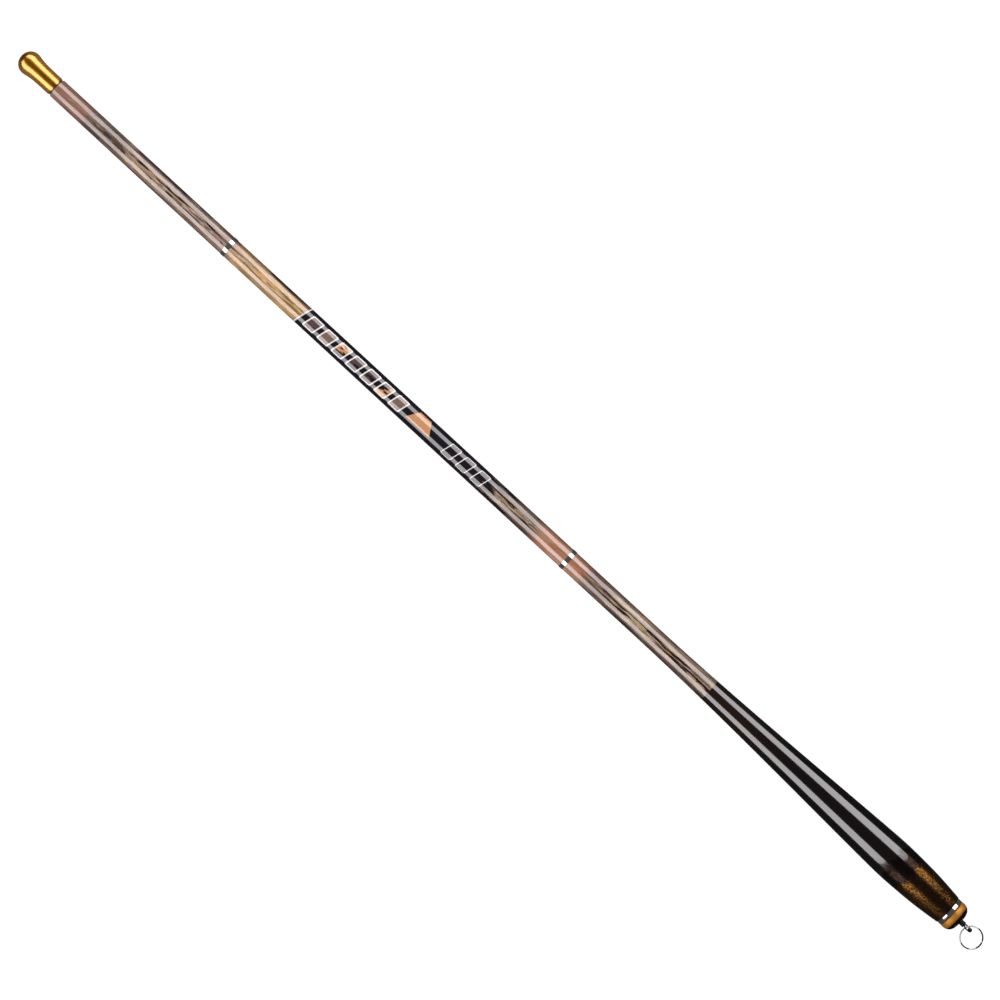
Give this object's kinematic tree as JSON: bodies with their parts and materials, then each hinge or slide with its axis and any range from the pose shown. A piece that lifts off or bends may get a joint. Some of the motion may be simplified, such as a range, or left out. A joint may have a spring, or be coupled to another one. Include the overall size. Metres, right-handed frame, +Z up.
{
  "type": "telescopic fishing rod",
  "caption": "Closed telescopic hand rod with a flared handle, nesting sections, a push-in front plug and a screw-in butt cap whose swivel eye carries a key ring.",
  "frame": {"origin": "on the surface that the rod lies on, below the middle of its length and width", "axes": "+X along the rod towards the front plug, +Y across it, +Z up. The rod's own axis drops by 0.42 degrees towards the plug, because the handle's belly and the plug's flare both rest on the surface"},
  "size_m": [0.7852, 0.0252, 0.0253],
  "materials": {
    "printed_blank": "lacquered print on a fibre blank",
    "bare_carbon": "bare wound fibre",
    "silver": "bright plate",
    "gold": "polished gold anodising",
    "orange_gold": "polished orange-gold anodising",
    "steel": "plain",
    "brass": "turned",
    "black_plastic": "moulded",
    "black_rubber": "smooth",
    "foam": "closed-cell foam"
  },
  "bodies": {
    "rod_butt": {"butt_section": "printed_blank", "trim_band_front": "silver", "trim_band_rear": "silver", "butt_collar": "silver", "thread_insert": "brass"},
    "mid": {"mid_section": "bare_carbon", "mid_mouth_wrap": "printed_blank"},
    "tip": {"tip_section": "bare_carbon", "tip_ferrule": "steel"},
    "tip_swivel": {"tip_swivel_eye": "steel"},
    "plug": {"plug_head": "gold", "plug_spigot": "black_plastic", "plug_o_ring_front": "black_rubber", "plug_o_ring_rear": "black_rubber", "plug_pad": "foam"},
    "cap_seal": {"cap_o_ring": "black_rubber"},
    "cap": {"butt_cap": "orange_gold", "swivel_bush": "steel", "swivel_washer": "steel", "cushion_pad": "foam"},
    "swivel": {"swivel_eye": "steel"},
    "ring": {"split_ring": "steel"}
  },
  "joints": [
    {"name": "mid_slide", "type": "slide", "parent": "rod_butt", "child": "mid", "axis": [1, 0, -0.0073], "range_m": [0, 0.6665]},
    {"name": "tip_slide", "type": "slide", "parent": "mid", "child": "tip", "axis": [1, 0, -0.0073], "range_m": [0, 0.678]},
    {"name": "tip_swivel_spin", "type": "hinge", "parent": "tip", "child": "tip_swivel", "pos_m": [0.37686, 0, 0.00753], "axis": [1, 0, -0.0073], "continuous": true},
    {"name": "plug_pull", "type": "slide", "parent": "tip", "child": "plug", "axis": [1, 0, -0.0073], "range_m": [0, 0.06]},
    {"name": "cap_travel", "type": "slide", "parent": "rod_butt", "child": "cap_seal", "axis": [-1, 0, 0.0073], "range_m": [0, 0.00875]},
    {"name": "cap_turn", "type": "hinge", "parent": "cap_seal", "child": "cap", "pos_m": [-0.37372, 0, 0.01303], "axis": [-1, 0, 0.0073], "range_deg": [0, 2520]},
    {"name": "swivel_spin", "type": "hinge", "parent": "cap", "child": "swivel", "pos_m": [-0.37372, 0, 0.01303], "axis": [1, 0, -0.0073], "continuous": true},
    {"name": "ring_swing", "type": "hinge", "parent": "swivel", "child": "ring", "pos_m": [-0.37892, 0, 0.01307], "axis": [0.3907, 0.9205, -0.0029], "range_deg": [-100, 100]}
  ],
  "couplings": [
    {"joint": "cap_travel", "follows": "cap_turn", "m_per_rad": 0.00019894}
  ]
}
